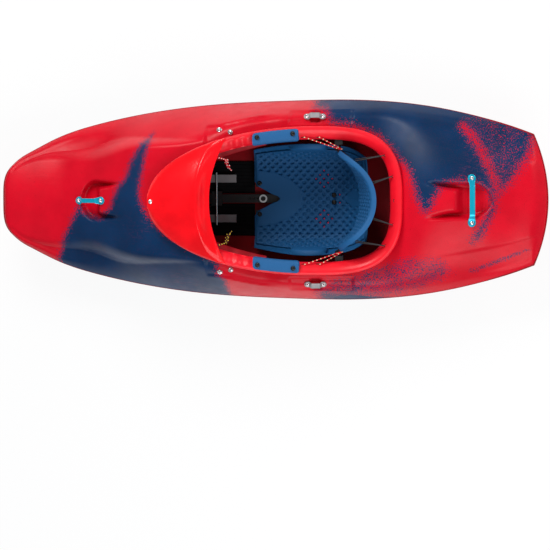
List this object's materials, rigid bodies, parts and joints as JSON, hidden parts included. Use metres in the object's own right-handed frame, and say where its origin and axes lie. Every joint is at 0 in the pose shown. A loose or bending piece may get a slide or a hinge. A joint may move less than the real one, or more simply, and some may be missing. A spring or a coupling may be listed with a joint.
{
  "type": "whitewater freestyle kayak",
  "caption": "Short whitewater kayak with a moulded shell, cockpit rim, raised front cap, grab handles, bulkhead footrest, sliding seat and tilting backband.",
  "frame": {"origin": "under the middle of the boat, level with the lowest point of the hull", "axes": "bow towards -X, stern towards +X, starboard towards +Y, deck towards +Z"},
  "size_m": [1.8199, 0.664, 0.4519],
  "materials": {
    "shell": "rotomoulded polyethylene, mottled red and navy, satin",
    "rim": "red polyethylene, satin",
    "cap": "glossy red thermoformed sheet",
    "pad_blue": "blue moulded foam and plastic, matt",
    "black": "black plastic, matt",
    "foam": "black closed-cell foam",
    "grey": "grey anodised aluminium",
    "handle": "cyan anodised aluminium",
    "steel": "stainless steel",
    "dark_steel": "black stainless steel",
    "cord": "braided cord, red flecked with white",
    "bungee": "black shock cord"
  },
  "bodies": {
    "boat": {"hull": "shell", "deck": "shell", "coaming": "rim", "riser_cap": "cap", "riser_screw": "steel", "bow_handle": "handle", "stern_handle": "handle", "lift_bar_port": "grey", "lift_bar_starboard": "grey", "bow_handle_screws": "steel", "stern_handle_screws": "steel", "lift_bar_screws": "steel", "thigh_hook_port": "rim", "thigh_hook_starboard": "rim", "hook_screws": "steel", "brace_bolts": "dark_steel", "floor_mat_port": "foam", "floor_mat_starboard": "foam", "index_beam": "black", "seat_rail_port": "black", "seat_rail_starboard": "black", "backband_hanger_port": "black", "backband_hanger_starboard": "black", "tension_cord_port": "cord", "tension_cord_starboard": "cord", "bungee_port": "bungee", "bungee_starboard": "bungee", "tie_cord_port": "cord", "tie_cord_starboard": "cord", "bow_pillar": "foam", "stern_pillar": "foam"},
    "seat": {"seat_pan": "black", "seat_pad": "pad_blue", "seat_bolts": "dark_steel", "hip_pad_port": "pad_blue", "hip_pad_starboard": "pad_blue"},
    "backband": {"backband_shell": "black", "backband_pad": "pad_blue"},
    "footrest": {"footrest_plate": "black", "foot_pad_port": "foam", "foot_pad_starboard": "foam", "footrest_arm_port": "grey", "footrest_arm_starboard": "grey", "cross_rod": "grey", "footrest_carriage": "black"},
    "brace_port": {"thigh_brace_port": "pad_blue"},
    "brace_starboard": {"thigh_brace_starboard": "pad_blue"},
    "knob": {"beam_knob": "grey"}
  },
  "joints": [
    {"name": "seat_slide", "type": "slide", "parent": "boat", "child": "seat", "axis": [1, 0, 0], "range_m": [-0.025, 0.025]},
    {"name": "backband_tilt", "type": "hinge", "parent": "boat", "child": "backband", "pos_m": [0.226, 0, 0.251], "axis": [0, 1, 0], "range_deg": [-8, 10], "deforming": ["tension_cord_port", "tension_cord_starboard", "bungee_port", "bungee_starboard"]},
    {"name": "footrest_slide", "type": "slide", "parent": "boat", "child": "footrest", "axis": [1, 0, 0], "range_m": [-0.06, 0.06]},
    {"name": "brace_port_slide", "type": "slide", "parent": "boat", "child": "brace_port", "axis": [0.975, -0.1007, -0.1981], "range_m": [-0.008, 0.008]},
    {"name": "brace_starboard_slide", "type": "slide", "parent": "boat", "child": "brace_starboard", "axis": [0.975, 0.1007, -0.1981], "range_m": [-0.008, 0.008]},
    {"name": "knob_turn", "type": "hinge", "parent": "boat", "child": "knob", "pos_m": [-0.06, 0, 0.035], "axis": [0, 0, 1], "range_deg": [-180, 180]}
  ]
}
